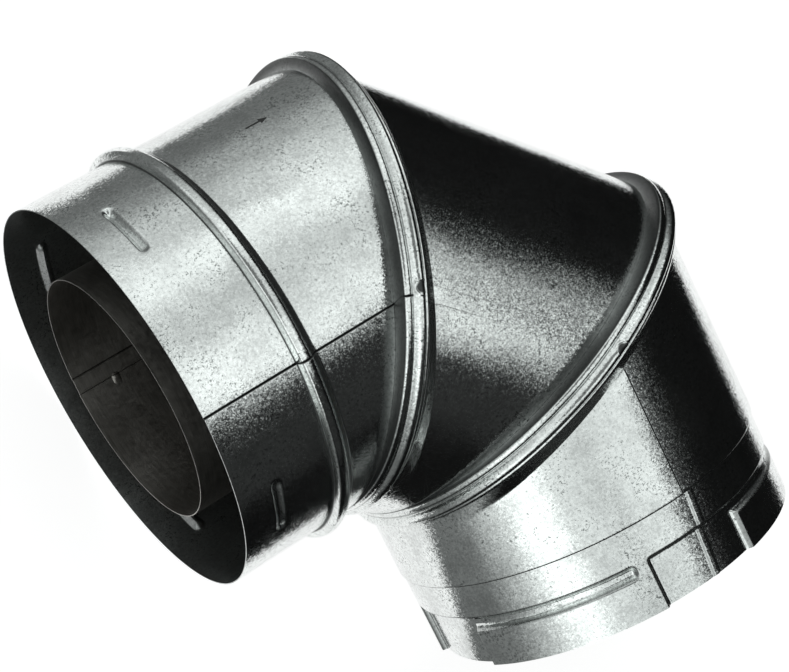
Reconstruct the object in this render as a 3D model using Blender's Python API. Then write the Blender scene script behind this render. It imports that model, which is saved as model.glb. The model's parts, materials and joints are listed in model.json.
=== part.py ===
"""Adjustable 90 degree double-wall vent elbow, lying on its side.

Three outer gores swivel on two locked bead joints, and carry a smaller flue
liner that swivels on the same two axes. The inlet is a twist-lock socket, the
outlet a twist-lock collar. All sizes are in metres.
"""
import math

import bmesh
import bpy
from mathutils import Matrix, Vector

# Outer wall
OUTER_RADIUS = 0.1016
OUTER_SHEET = 0.0006
LAP_RISE = 0.0004
LAP_WIDTH = math.radians(10)
INLET_SEAM = math.radians(-4)
OUTLET_SEAM = math.radians(1)
GAP = 0.0003
CUT_ANGLE = math.radians(22.5)

# Socket end: distances from the inlet rim along the inlet axis
DIMPLE_COUNT = 4
DIMPLE_ANGLE = math.radians(50)
DIMPLE_SPAN = math.radians(20)
DIMPLE_AT = 0.0205
DIMPLE_WIDTH = 0.0066
DIMPLE_DEPTH = 0.0028
DIMPLE_FLAT_SPAN = 0.76
DIMPLE_FLAT_WIDTH = 0.40
RIB_AT = 0.0540
RIB_WIDTH = 0.0090
RIB_HEIGHT = 0.0050

# Flat sheet left between the forms on the inside of the bend
INLET_THROAT = 0.0066
MIDDLE_THROAT = 0.0044
OUTLET_THROAT = 0.0065
OUTLET_SLEEVE = 0.0208

# Locked bead of the outer joints: from the joint's plane to its feet, and its height
BEAD_BACK = 0.0083
BEAD_FRONT = 0.0125
BEAD_HEIGHT = 0.0052
# Outline of the sheet that lies outside, as shares of the half width and height
BEAD_SHAPE = (
    (-1.00, 0.00), (-0.96, 0.31), (-0.88, 0.56), (-0.70, 0.62),
    (-0.58, 0.54), (-0.44, 0.78), (-0.26, 0.98), (-0.12, 0.96), (0.01, 0.67),
)
BEAD_SHOULDER = ((1.00, 0.00), (0.36, 0.08), (0.14, 0.32))

# Twist-lock collar at the outlet
COLLAR_REACH = 0.0460
COLLAR_LAP = 0.0140
ENTRY_START = math.radians(-17)
ENTRY_SPAN = math.radians(33)
TRACK_SPAN = math.radians(87)
TRACK_AT = 0.0180
TRACK_WIDTH = 0.0085
TRACK_DEPTH = 0.0032
TRACK_FLANK = 0.0016

# Flue liner
LINER_RADIUS = 0.0644
LINER_SHEET = 0.0005
LINER_RECESS = 0.0010
LINER_STRAIGHT = 0.0640
LINER_FLARE = 0.0020
LINER_BEAD_HALF = 0.0070
LINER_BEAD_HEIGHT = 0.0030
LINER_BEAD_SHAPE = ((-1.00, 0.00), (-0.62, 0.80), (0.00, 1.00), (0.45, 0.80))
LINER_SHOULDER = ((1.00, 0.00), (0.78, 0.55))
LINER_PLUG_LENGTH = 0.0360
LINER_PLUG_DROP = 0.0010

# Spacer clips between the walls
SPACER_COUNT = 4
SPACER_START = math.radians(45)
SPACER_SHEET = 0.0008
SPACER_WIDTH = 0.0100
SPACER_FOOT = 0.0090
SPACER_INLET_AT = 0.0690
SPACER_OUTLET_BACK = 0.0375

# Fineness
OUTER_STEPS = 40
LINER_STEPS = 28
RIB_STEPS = 4
SEAM_CLEAR = math.radians(1)
SHARP_ANGLE = math.radians(35)
ROUNDING = 1e-6
FULL_TURN = 2 * math.pi
UP = Vector((0, 0, 1))


def heading(turns):
    """Level direction after so many cuts of the bend, starting along +X."""
    return Vector((math.cos(turns * CUT_ANGLE), -math.sin(turns * CUT_ANGLE), 0))


INLET, SWIVEL_1, MIDDLE, SWIVEL_2, OUTLET = (heading(turns) for turns in range(5))

# The joint's circle goes round the oblique end of the pipe
JOINT_RADIUS = OUTER_RADIUS / math.cos(CUT_ANGLE)
BEAD_HALF = (BEAD_FRONT + BEAD_BACK) / 2
BEAD_SHIFT = (BEAD_FRONT - BEAD_BACK) / 2
LINER_JOINT_RADIUS = LINER_RADIUS + LINER_FLARE


def foot_back(foot):
    """From a joint's centre to its bead's foot on the inside of the bend, along a gore."""
    return foot / math.cos(CUT_ANGLE) + OUTER_RADIUS * math.tan(CUT_ANGLE)


INLET_LENGTH = RIB_AT + RIB_WIDTH / 2 + INLET_THROAT + foot_back(BEAD_BACK)
MIDDLE_LENGTH = foot_back(BEAD_FRONT) + MIDDLE_THROAT + foot_back(BEAD_BACK)
OUTLET_STRAIGHT = foot_back(BEAD_FRONT) + OUTLET_THROAT
OUTLET_LENGTH = OUTLET_STRAIGHT + OUTLET_SLEEVE
COLLAR_END = OUTLET_LENGTH + COLLAR_REACH
JOINT_1 = INLET * INLET_LENGTH
JOINT_2 = JOINT_1 + MIDDLE * MIDDLE_LENGTH

# Flat facets dip inside their circle, so a piece nested in another stays clear of the dip
OUTER_CHORD = math.cos(math.pi / OUTER_STEPS)
LINER_CHORD = math.cos(math.pi / LINER_STEPS)
COLLAR_RADIUS = (OUTER_RADIUS - OUTER_SHEET) * OUTER_CHORD - GAP
OUTER_NEST = OUTER_SHEET + GAP + JOINT_RADIUS * (1 - OUTER_CHORD)
LINER_NEST = LINER_SHEET + GAP + LINER_JOINT_RADIUS * (1 - LINER_CHORD)


def even_steps(count, start=0.0, span=FULL_TURN):
    return [start + span * i / count for i in range(count)]


def in_turn(angle):
    """The same angle between -180 and 180 degrees."""
    return (angle + math.pi) % FULL_TURN - math.pi


def columns(count, period, marks):
    """Angles round a piece: the marks of each period, with even steps between them."""
    widest = FULL_TURN / count
    angles = []
    for repeat in range(round(FULL_TURN / period)):
        stops = [mark + repeat * period for mark in marks]
        stops.append(marks[0] + (repeat + 1) * period)
        for start, end in zip(stops, stops[1:]):
            parts = math.ceil((end - start) / widest - ROUNDING)
            angles += even_steps(parts, start, end - start)
    return angles


def with_seam(angles, seam):
    """Add the two columns of a lap seam's edge, in place of any column close by."""
    edge = [seam - LAP_RISE / OUTER_RADIUS, seam]
    kept = [angle for angle in angles if abs(in_turn(angle - seam)) > SEAM_CLEAR]
    return sorted(angle % FULL_TURN for angle in kept + edge)


def lapped(radius, seam):
    """A wall's radius, with the rise of the sheet over its own end at the lengthwise seam."""
    step = LAP_RISE / OUTER_RADIUS

    def size(angle):
        back = (seam - angle) % FULL_TURN
        if back < step / 2 or back > LAP_WIDTH:
            return radius
        return radius + LAP_RISE * (1 - (back - step) / LAP_WIDTH)
    return size


def ring(centre, axis, angles, radius):
    """Points round an axis, from the top towards the outside of the bend."""
    side = UP.cross(axis)
    size = radius if callable(radius) else (lambda angle: radius)
    return [centre + (UP * math.cos(a) + side * math.sin(a)) * size(a) for a in angles]


def offset_outline(points, distance):
    """The open outline moved to its inner side by one distance, with mitred corners."""
    moved = []
    for i, point in enumerate(points):
        before = (point - points[i - 1]).normalized() if i else None
        after = (points[i + 1] - point).normalized() if i + 1 < len(points) else None
        before, after = before or after, after or before
        mean = (before + after).normalized()
        inward = Vector((mean.y, -mean.x))
        moved.append(point + inward * distance / mean.dot(before))
    return moved


def outside_bead(shape, half, height, shift=0.0):
    return [Vector((x * half + shift, y * height)) for x, y in shape]


def inside_bead(shape, shoulder, half, height, nest, shift=0.0):
    """The nested sheet, from its free end under the other to its own gore."""
    nested = offset_outline(outside_bead(shape, half, height, shift), nest)[1:]
    valley = nested[-1] + Vector((nest, -GAP / 2))
    return nested + [valley] + outside_bead(reversed(shoulder), half, height, shift)


def bead_rings(profile, centre, axis, joint_radius, angles):
    return [ring(centre + axis * p.x, axis, angles, joint_radius + p.y) for p in profile]


def over_wall(point):
    """A flank's radius on a joint: its circle, or the gore's oblique wall where that lies outside."""
    off = abs(point.x) * math.sin(CUT_ANGLE)

    def radius(angle):
        up, out = math.cos(angle), math.sin(angle) * math.cos(CUT_ANGLE)
        square = up * up + out * out
        root = math.sqrt((out * off) ** 2 - square * (off * off - OUTER_RADIUS ** 2))
        return max(JOINT_RADIUS + point.y, (root - out * off) / square)
    return radius


def flank_rings(profile, centre, axis, angles):
    return [ring(centre + axis * p.x, axis, angles, over_wall(p)) for p in profile]


def cut_ring(joint, axis, swivel, at, angles, radius=OUTER_RADIUS):
    """Points of a gore's wall where a plane across the swivel cuts it."""
    points = ring(joint, axis, angles, radius)
    return [p + axis * ((at - (p - joint).dot(swivel)) / axis.dot(swivel)) for p in points]


def skin(bm, rings):
    """Quads between neighbouring rings, facing away from the axis."""
    loops = [[bm.verts.new(point) for point in points] for points in rings]
    for first, second in zip(loops, loops[1:]):
        for i in range(len(first)):
            bm.faces.new((first[i], first[i - 1], second[i - 1], second[i]))


def metal(name, colour, roughness):
    material = bpy.data.materials.new(name)
    material.use_nodes = True
    shader = material.node_tree.nodes["Principled BSDF"]
    shader.inputs["Base Color"].default_value = (*colour, 1)
    shader.inputs["Metallic"].default_value = 1
    shader.inputs["Roughness"].default_value = roughness
    return material


def add_object(name, bm, parent, material):
    """Put a mesh, built in the elbow's frame, on its parent's origin."""
    bm.transform(parent.matrix_world.inverted())
    mesh = bpy.data.meshes.new(name)
    bm.to_mesh(mesh)
    bm.free()
    mesh.materials.append(material)
    mesh.shade_smooth()
    mesh.set_sharp_from_angle(angle=SHARP_ANGLE)
    piece = bpy.data.objects.new(name, mesh)
    bpy.context.collection.objects.link(piece)
    piece.parent = parent
    return piece


def sheet_tube(name, rings, sheet, parent, material):
    """A tube of bent sheet: its outer skin, thickened inward."""
    bm = bmesh.new()
    skin(bm, rings)
    piece = add_object(name, bm, parent, material)
    wall = piece.modifiers.new("sheet", "SOLIDIFY")
    wall.thickness = sheet
    wall.offset = -1
    wall.use_even_offset = True
    return piece


def outside_joint(joint, axis, swivel, angles, radius=OUTER_RADIUS):
    """The end of a gore that forms a joint's outside sheet, from its oblique cut on."""
    profile = outside_bead(BEAD_SHAPE, BEAD_HALF, BEAD_HEIGHT, BEAD_SHIFT)[1:]
    cut = cut_ring(joint, axis, swivel, -BEAD_BACK, angles, radius)
    return [cut] + flank_rings(profile, joint, swivel, angles)


def inside_joint(joint, axis, swivel, angles, radius=OUTER_RADIUS):
    """The start of a gore whose sheet nests in the joint, up to its oblique cut."""
    profile = inside_bead(BEAD_SHAPE, BEAD_SHOULDER, BEAD_HALF, BEAD_HEIGHT, OUTER_NEST, BEAD_SHIFT)
    count = len(profile) - len(BEAD_SHOULDER)
    rings = bead_rings(profile[:count], joint, swivel, JOINT_RADIUS, angles)
    rings += flank_rings(profile[count:-1], joint, swivel, angles)
    return rings + [cut_ring(joint, axis, swivel, BEAD_FRONT, angles, radius)]


def liner_bead_profiles():
    size = (LINER_BEAD_HALF, LINER_BEAD_HEIGHT)
    outside = outside_bead(LINER_BEAD_SHAPE, *size)
    inside = inside_bead(LINER_BEAD_SHAPE, LINER_SHOULDER, *size, LINER_NEST)
    return outside, inside


def dimple(angle):
    """Share of a dimple's full depth at an angle round the socket."""
    pitch = FULL_TURN / DIMPLE_COUNT
    off = abs((angle - DIMPLE_ANGLE + pitch / 2) % pitch - pitch / 2)
    return 1.0 if off < DIMPLE_SPAN * (1 + DIMPLE_FLAT_SPAN) / 4 else 0.0


def socket_rings(angles):
    """The inlet's cylinder: rim, inward dimples and the raised stop rib."""
    plain = lapped(OUTER_RADIUS, INLET_SEAM)

    def pressed(angle):
        return plain(angle) - DIMPLE_DEPTH * dimple(angle)

    edge = DIMPLE_WIDTH / 2
    floor = edge * DIMPLE_FLAT_WIDTH
    rows = [(0.0, plain)]
    for off, radius in ((-edge, plain), (-floor, pressed), (floor, pressed), (edge, plain)):
        rows.append((DIMPLE_AT + off, radius))
    for turn in even_steps(RIB_STEPS, 0.0, math.pi) + [math.pi]:
        at = RIB_AT - RIB_WIDTH / 2 * math.cos(turn)
        rows.append((at, lapped(OUTER_RADIUS + RIB_HEIGHT * math.sin(turn), INLET_SEAM)))
    return [ring(INLET * at, INLET, angles, radius) for at, radius in rows]


def build_outer_inlet(parent, material):
    edge = DIMPLE_SPAN / 2
    floor = edge * DIMPLE_FLAT_SPAN
    marks = [DIMPLE_ANGLE + off for off in (-edge, -floor, 0.0, floor, edge)]
    angles = with_seam(columns(OUTER_STEPS, FULL_TURN / DIMPLE_COUNT, marks), INLET_SEAM)
    plain = lapped(OUTER_RADIUS, INLET_SEAM)
    rings = socket_rings(angles) + outside_joint(JOINT_1, INLET, SWIVEL_1, angles, plain)
    return sheet_tube("outer_inlet_gore", rings, OUTER_SHEET, parent, material)


def build_outer_middle(parent, material):
    angles = even_steps(OUTER_STEPS)
    rings = inside_joint(JOINT_1, MIDDLE, SWIVEL_1, angles)
    rings += outside_joint(JOINT_2, MIDDLE, SWIVEL_2, angles)
    return sheet_tube("outer_middle_gore", rings, OUTER_SHEET, parent, material)


def build_outer_outlet(parent, material):
    angles = with_seam(even_steps(OUTER_STEPS), OUTLET_SEAM)
    plain = lapped(OUTER_RADIUS, OUTLET_SEAM)
    rings = inside_joint(JOINT_2, OUTLET, SWIVEL_2, angles, plain)
    rings.append(ring(JOINT_2 + OUTLET * OUTLET_LENGTH, OUTLET, angles, plain))
    return sheet_tube("outer_outlet_gore", rings, OUTER_SHEET, parent, material)


def build_collar(parent, material):
    """Collar with bayonet tracks: four entries open at the rim, each turning into a groove."""
    pitch = FULL_TURN / DIMPLE_COUNT
    slope = TRACK_FLANK / COLLAR_RADIUS
    marks = [ENTRY_START + share for share in (
        0, slope, ENTRY_SPAN - slope, ENTRY_SPAN, TRACK_SPAN - slope, TRACK_SPAN)]
    angles = columns(OUTER_STEPS, pitch, marks)

    def pressed(span):
        def radius(angle):
            turned = (angle - ENTRY_START + slope / 2) % pitch - slope / 2
            deep = slope / 2 < turned < span - slope / 2
            return COLLAR_RADIUS - (TRACK_DEPTH if deep else 0)
        return radius

    groove = OUTLET_LENGTH + TRACK_AT
    floor_start = groove + TRACK_FLANK
    floor_end = groove + TRACK_WIDTH - TRACK_FLANK
    rows = (
        (OUTLET_LENGTH - COLLAR_LAP, COLLAR_RADIUS),
        (groove, COLLAR_RADIUS),
        (floor_start, pressed(TRACK_SPAN)),
        (floor_end, pressed(TRACK_SPAN)),
        (groove + TRACK_WIDTH, pressed(ENTRY_SPAN)),
        (COLLAR_END, pressed(ENTRY_SPAN)),
    )
    rings = [ring(JOINT_2 + OUTLET * at, OUTLET, angles, radius) for at, radius in rows]
    return sheet_tube("twist_lock_collar", rings, OUTER_SHEET, parent, material)


def build_liner(bodies, material):
    outside, inside = liner_bead_profiles()
    angles = even_steps(LINER_STEPS)

    def straight(centre, axis, at, radius=LINER_RADIUS):
        return ring(centre + axis * at, axis, angles, radius)

    def bead(profile, centre, axis):
        return bead_rings(profile, centre, axis, LINER_JOINT_RADIUS, angles)

    origin = Vector((0, 0, 0))
    plug = COLLAR_END - LINER_PLUG_LENGTH
    plug_radius = LINER_RADIUS - LINER_PLUG_DROP
    runs = {
        "inlet": [straight(origin, INLET, at) for at in (LINER_RECESS, LINER_STRAIGHT)]
        + bead(outside, JOINT_1, SWIVEL_1),
        "middle": bead(inside, JOINT_1, SWIVEL_1) + bead(outside, JOINT_2, SWIVEL_2),
        "outlet": bead(inside, JOINT_2, SWIVEL_2) + [
            straight(JOINT_2, OUTLET, OUTLET_STRAIGHT),
            straight(JOINT_2, OUTLET, plug - LINER_PLUG_DROP),
            straight(JOINT_2, OUTLET, plug, plug_radius),
            straight(JOINT_2, OUTLET, COLLAR_END, plug_radius)],
    }
    for part, rings in runs.items():
        sheet_tube("liner_%s_gore" % part, rings, LINER_SHEET, bodies[part], material)


def liner_radii(angle):
    """Radii of the inlet liner's skin all over a spacer clip's foot and the facets beside it."""
    half = SPACER_WIDTH / 2
    reach = SPACER_FOOT / LINER_RADIUS + FULL_TURN / LINER_STEPS
    foot = JOINT_1 - SWIVEL_1 * LINER_BEAD_HALF
    radii = []
    for at in (SPACER_INLET_AT - half, SPACER_INLET_AT + half):
        for turn in (angle - reach, angle, angle + reach):
            start = ring(INLET * LINER_STRAIGHT, INLET, [turn], LINER_RADIUS)[0]
            end = ring(foot, SWIVEL_1, [turn], LINER_JOINT_RADIUS)[0]
            share = max(0.0, (at - start.x) / (end.x - start.x))
            point = start.lerp(end, share)
            radii.append(math.hypot(point.y, point.z))
    return radii


def build_spacer(name, centre, axis, angle, inner, outer, parent, material):
    """Z-shaped strip: one foot on the liner, one under the outer wall."""
    radial = UP * math.cos(angle) + UP.cross(axis) * math.sin(angle)
    along = radial.cross(axis)
    low = inner + GAP
    high = math.sqrt((outer - GAP) ** 2 - SPACER_FOOT ** 2)
    half = SPACER_SHEET / 2
    outline = (
        (-SPACER_FOOT, low), (half, low), (half, high - SPACER_SHEET),
        (SPACER_FOOT, high - SPACER_SHEET), (SPACER_FOOT, high), (-half, high),
        (-half, low + SPACER_SHEET), (-SPACER_FOOT, low + SPACER_SHEET),
    )
    bm = bmesh.new()
    start = centre - axis * SPACER_WIDTH / 2
    verts = [bm.verts.new(start + along * t + radial * r) for t, r in outline]
    strip = bmesh.ops.extrude_face_region(bm, geom=[bm.faces.new(verts)])
    moved = [item for item in strip["geom"] if isinstance(item, bmesh.types.BMVert)]
    bmesh.ops.translate(bm, vec=axis * SPACER_WIDTH, verts=moved)
    bmesh.ops.recalc_face_normals(bm, faces=bm.faces)
    add_object(name, bm, parent, material)


def build_spacers(bodies, material):
    """Clips that hold the liner central, clear of the sockets."""
    outlet_at = COLLAR_END - SPACER_OUTLET_BACK
    collar = COLLAR_RADIUS * OUTER_CHORD - OUTER_SHEET
    wall = OUTER_RADIUS * OUTER_CHORD - OUTER_SHEET
    for i, angle in enumerate(even_steps(SPACER_COUNT, SPACER_START)):
        build_spacer("inlet_spacer_%d" % (i + 1), INLET * SPACER_INLET_AT, INLET, angle,
                     max(liner_radii(angle)), wall, bodies["inlet"], material)
        build_spacer("outlet_spacer_%d" % (i + 1), JOINT_2 + OUTLET * outlet_at, OUTLET, angle,
                     LINER_RADIUS, collar, bodies["outlet"], material)


def add_empty(name, parent, centre, axis):
    """An empty with its Z along a joint's axis, to turn what hangs on it."""
    empty = bpy.data.objects.new(name, None)
    empty.empty_display_size = OUTER_RADIUS
    bpy.context.collection.objects.link(empty)
    side = UP.cross(axis)
    place = Matrix.Translation(centre) @ Matrix((side, UP, axis)).transposed().to_4x4()
    if parent:
        empty.parent = parent
        bpy.context.view_layer.update()
        place = parent.matrix_world.inverted() @ place
    empty.matrix_local = place
    bpy.context.view_layer.update()
    return empty


def world_mesh(piece, graph):
    bm = bmesh.new()
    bm.from_object(piece, graph)
    bm.transform(piece.matrix_world)
    return bm


def centre_of_mass(meshes):
    """Centre of all the closed meshes, from the tetrahedra of their faces."""
    moment = Vector((0, 0, 0))
    total = 0.0
    for bm in meshes:
        bmesh.ops.triangulate(bm, faces=bm.faces)
        for face in bm.faces:
            a, b, c = (vert.co for vert in face.verts)
            volume = a.dot(b.cross(c)) / 6
            moment += volume * (a + b + c) / 4
            total += volume
    return moment / total


def resting_normal(meshes):
    """Outward normal of the hull's face that the elbow comes to rest on, near its underside."""
    centre = centre_of_mass(meshes)
    hull = bmesh.new()
    for bm in meshes:
        for vert in bm.verts:
            hull.verts.new(vert.co)
    bmesh.ops.convex_hull(hull, input=hull.verts)
    hull.normal_update()
    best = UP
    for face in hull.faces:
        corners = [vert.co for vert in face.verts]
        sides = [(b - a).cross(centre - a).dot(face.normal) for a, b in
                 zip(corners, corners[1:] + corners[:1])]
        if min(sides) >= 0 and face.normal.z < best.z:
            best = face.normal.copy()
    hull.free()
    return best


def lay_down(root):
    """Turn the elbow onto its resting face, and stand its box on the origin."""
    bpy.context.view_layer.update()
    graph = bpy.context.evaluated_depsgraph_get()
    pieces = [piece for piece in bpy.data.objects if piece.type == "MESH"]
    meshes = [world_mesh(piece, graph) for piece in pieces]
    tilt = resting_normal(meshes).rotation_difference(-UP).to_matrix()
    aim = tilt @ INLET
    turn = Matrix.Rotation(-math.atan2(aim.y, aim.x), 3, "Z") @ tilt
    points = [turn @ vert.co for bm in meshes for vert in bm.verts]
    low = Vector([min(point[i] for point in points) for i in range(3)])
    high = Vector([max(point[i] for point in points) for i in range(3)])
    foot = Vector(((low.x + high.x) / 2, (low.y + high.y) / 2, low.z))
    root.matrix_world = Matrix.Translation(-foot) @ turn.to_4x4() @ root.matrix_world
    for bm in meshes:
        bm.free()


def build():
    for old in list(bpy.data.objects):
        bpy.data.objects.remove(old, do_unlink=True)
    casing = metal("galvanised_casing", (0.60, 0.62, 0.62), 0.28)
    flue = metal("flue_liner", (0.36, 0.35, 0.33), 0.42)
    clip = metal("spacer_clip", (0.50, 0.51, 0.51), 0.38)

    root = add_empty("elbow", None, Vector((0, 0, 0)), INLET)
    first = add_empty("swivel_1", root, JOINT_1, SWIVEL_1)
    second = add_empty("swivel_2", first, JOINT_2, SWIVEL_2)
    bodies = {"inlet": root, "middle": first, "outlet": second}

    build_outer_inlet(root, casing)
    build_outer_middle(first, casing)
    build_outer_outlet(second, casing)
    build_collar(second, casing)
    build_liner(bodies, flue)
    build_spacers(bodies, clip)
    lay_down(root)


build()
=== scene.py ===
"""Dressed model of the double-wall vent elbow: fine sheet-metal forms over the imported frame.

Fine meshes of the gores, the collar and the liner stand for the faceted solids, and
the spacer clips keep theirs. All sizes are in metres.
"""
import json
import math

import bpy
import numpy as np
from mathutils import Matrix, Vector


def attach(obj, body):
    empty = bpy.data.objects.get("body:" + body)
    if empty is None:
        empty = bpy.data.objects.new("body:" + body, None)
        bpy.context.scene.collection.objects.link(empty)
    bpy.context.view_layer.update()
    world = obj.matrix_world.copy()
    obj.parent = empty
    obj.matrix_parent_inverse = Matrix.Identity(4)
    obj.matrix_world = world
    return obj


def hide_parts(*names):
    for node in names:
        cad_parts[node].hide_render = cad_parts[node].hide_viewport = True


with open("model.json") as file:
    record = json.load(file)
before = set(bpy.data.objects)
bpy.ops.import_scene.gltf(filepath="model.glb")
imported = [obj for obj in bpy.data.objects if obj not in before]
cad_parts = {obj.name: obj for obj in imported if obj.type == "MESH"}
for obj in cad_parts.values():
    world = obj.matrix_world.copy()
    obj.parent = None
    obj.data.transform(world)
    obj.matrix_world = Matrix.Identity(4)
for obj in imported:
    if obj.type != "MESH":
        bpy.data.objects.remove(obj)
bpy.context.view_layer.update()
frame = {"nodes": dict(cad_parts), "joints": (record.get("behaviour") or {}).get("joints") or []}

# Frame of the elbow, from its two swivel joints
joints = {joint["name"]: joint for joint in frame["joints"]}


def unit(v):
    v = np.array(v, float)
    return v / np.linalg.norm(v)


J1 = np.array(joints["inlet_swivel"]["pos_m"])
J2 = np.array(joints["outlet_swivel"]["pos_m"])
N1 = unit(joints["inlet_swivel"]["axis"])
N2 = unit(joints["outlet_swivel"]["axis"])
MIDDLE = unit(J2 - J1)
UP = unit(np.cross(MIDDLE, N1))
OUTWARD = np.cross(UP, MIDDLE)
INLET = unit(MIDDLE + OUTWARD)
OUTLET = unit(MIDDLE - OUTWARD)

# Sizes of the solids
CUT = math.radians(22.5)
WALL = 0.1016
SHEET = 0.0006
GAP = 0.0003
BEAD_BACK = 0.0083
BEAD_FRONT = 0.0125
JOINT_RADIUS = WALL / math.cos(CUT)
LINER = 0.0644
LINER_SHEET = 0.0005
LINER_JOINT = 0.0664
LINER_STRAIGHT = 0.0640
LINER_RECESS = 0.0010
PLUG_LENGTH = 0.0360
PLUG_DROP = 0.0010
COLLAR_RADIUS = 0.100389
COLLAR_LAP = 0.0140


def foot_back(foot):
    """From a joint's centre to its bead's foot on the inside of the bend, along a gore."""
    return foot / math.cos(CUT) + WALL * math.tan(CUT)


INLET_LENGTH = 0.0651 + foot_back(BEAD_BACK)
OUTLET_STRAIGHT = foot_back(BEAD_FRONT) + 0.0065
OUTLET_LENGTH = OUTLET_STRAIGHT + 0.0208
COLLAR_END = OUTLET_LENGTH + 0.0460

RIM = J1 - INLET * INLET_LENGTH


def deg(*angles):
    return [math.radians(angle) for angle in angles]


# Meshes

def spans(*runs):
    """Values from runs of (start, end, step); each run leaves its end to the next one."""
    values = []
    for start, end, step in runs:
        count = max(1, round((end - start) / step))
        values += [start + (end - start) * i / count for i in range(count)]
    values.append(runs[-1][1])
    return values


def columns(step, fine=()):
    """Angles round a piece, in degrees from -180, with finer steps in some spans."""
    runs = []
    at = -180.0
    for start, end, small in sorted(fine):
        if start > at:
            runs.append((at, start, step))
        runs.append((max(at, start), end, small))
        at = end
    runs.append((at, 180.0, step))
    return np.radians(np.array(spans(*runs))[:-1])


def merged(fine):
    """Spans joined where they overlap, with the finer step of the two."""
    out = []
    for start, end, step in sorted(fine):
        if out and start < out[-1][1]:
            a, b, c = out[-1]
            out[-1] = (a, max(b, end), min(c, step))
        else:
            out.append((start, end, step))
    return out


def curve(points, steps):
    """Smooth curve through 2-D points, by Catmull-Rom splines."""
    p = [np.array(q, float) for q in points]
    p = [2 * p[0] - p[1]] + p + [2 * p[-1] - p[-2]]
    out = []
    for a, b, c, d in zip(p, p[1:], p[2:], p[3:]):
        for i in range(steps):
            t = i / steps
            out.append(0.5 * (2 * b + (c - a) * t + (2 * a - 5 * b + 4 * c - d) * t * t
                              + (3 * b - a - 3 * c + d) * t ** 3))
    out.append(p[-2])
    return np.array(out)


def offset(points, distance):
    """An outline moved towards the axis by one distance."""
    step = np.gradient(points, axis=0)
    normal = np.stack([step[:, 1], -step[:, 0]], 1)
    return points + distance * normal / np.linalg.norm(normal, axis=1, keepdims=True)


def ring(centre, axis, angles, radius):
    """Points round an axis, from the top towards the outside of the bend."""
    side = np.cross(UP, axis)
    away = np.cos(angles)[:, None] * UP + np.sin(angles)[:, None] * side
    return centre + away * np.reshape(radius, (-1, 1))


def ruled(first, last, count):
    """Rows of points between two rows."""
    return [first + (last - first) * i / count for i in range(1, count)]


def profile_rows(points, centre, axis, radius, angles):
    """Rings for an outline's points, given along the axis and above a radius."""
    return [ring(centre + axis * x, axis, angles, radius + y) for x, y in points]


def over_wall(point, angles):
    """A flank's radius on a joint: its circle, or the gore's oblique wall where that lies outside."""
    off = abs(point[0]) * math.sin(CUT)
    out = np.sin(angles) * math.cos(CUT)
    square = np.cos(angles) ** 2 + out ** 2
    root = np.sqrt((out * off) ** 2 - square * (off * off - WALL ** 2))
    return np.maximum(JOINT_RADIUS + point[1], (root - out * off) / square)


def flank_rows(points, centre, axis, angles):
    """Rings for an outline's points on a joint, which never sink into the gore's wall."""
    return [ring(centre + axis * p[0], axis, angles, over_wall(p, angles)) for p in points]


def cut_row(joint, axis, swivel, at, angles):
    """Points of a gore's wall where a plane across the swivel cuts it."""
    points = ring(joint, axis, angles, WALL)
    return points + axis * ((at - (points - joint) @ swivel) / (axis @ swivel))[:, None]


def normals(grid):
    """Unit normals of a grid that closes on itself, away from its axis."""
    along = np.gradient(grid, axis=0)
    around = np.roll(grid, -1, axis=1) - np.roll(grid, 1, axis=1)
    n = np.cross(around, along)
    return n / np.maximum(np.linalg.norm(n, axis=2, keepdims=True), 1e-12)


# Least share of painted shade on the inside skins of the outer pieces: the pipe's hollow darkened
# where shade falls.
INSIDE_SHADE = 0.58
SHARP_FROM = math.radians(38)
COLUMN_STEP = 1.25


def tube(name, rows, angles, sheet, origin, axis, shape=None, shade_of=None, least_inside_shade=0.0):
    """A closed piece of bent sheet.

    shape(points, s, angle) moves the skin outward, and the next function, of the same arguments, is
    the share of painted shade on it, from 0 to 1. The last is the least share of painted shade
    inside.
    """
    grid = np.array(rows)
    side = np.cross(UP, axis)
    s = (grid - origin) @ axis
    phi = np.broadcast_to(angles, s.shape)
    away = np.cos(phi)[..., None] * UP + np.sin(phi)[..., None] * side
    shade_share = np.zeros_like(s) if shade_of is None else np.clip(shade_of(grid, s, phi), 0, 1)
    if shape is not None:
        grid = grid + away * shape(grid, s, phi)[..., None]
    facing = normals(grid)
    if np.sum(facing * away) < 0:
        facing = -facing
    inner = grid - facing * sheet
    count, width = grid.shape[:2]
    points = np.concatenate([grid.reshape(-1, 3), inner.reshape(-1, 3)])
    index = np.arange(count * width).reshape(count, width)
    right = np.roll(index, -1, axis=1)
    skin = np.stack([index[:-1], right[:-1], right[1:], index[1:]], -1).reshape(-1, 4)
    under = skin[:, ::-1] + count * width
    low = np.stack([index[0], index[0] + count * width, right[0] + count * width, right[0]], -1)
    high = np.stack([index[-1], right[-1], right[-1] + count * width, index[-1] + count * width], -1)
    faces = np.concatenate([skin, under, low, high])
    mesh = bpy.data.meshes.new(name)
    mesh.from_pydata(points.tolist(), [], faces.tolist())
    place = mesh.attributes.new("place", "FLOAT_VECTOR", "POINT")
    flat = np.stack([phi * WALL, s, np.zeros_like(s)], -1).reshape(-1, 3)
    back = flat + [0, 0, 1]
    place.data.foreach_set("vector", np.concatenate([flat, back]).astype(np.float32).ravel())
    # Share of painted shade at each point, which the materials mix in as a near-black colour:
    # creases, flanks, pits and the inside skins.
    painted_shade = mesh.attributes.new("painted_shade", "FLOAT", "POINT")
    inside = np.maximum(shade_share, least_inside_shade)
    painted_shade.data.foreach_set("value", np.concatenate([shade_share, inside]).ravel().astype(np.float32))
    mesh.shade_smooth()
    mesh.set_sharp_from_angle(angle=SHARP_FROM)
    mesh.update()
    piece = bpy.data.objects.new(name, mesh)
    bpy.context.collection.objects.link(piece)
    return piece


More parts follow.
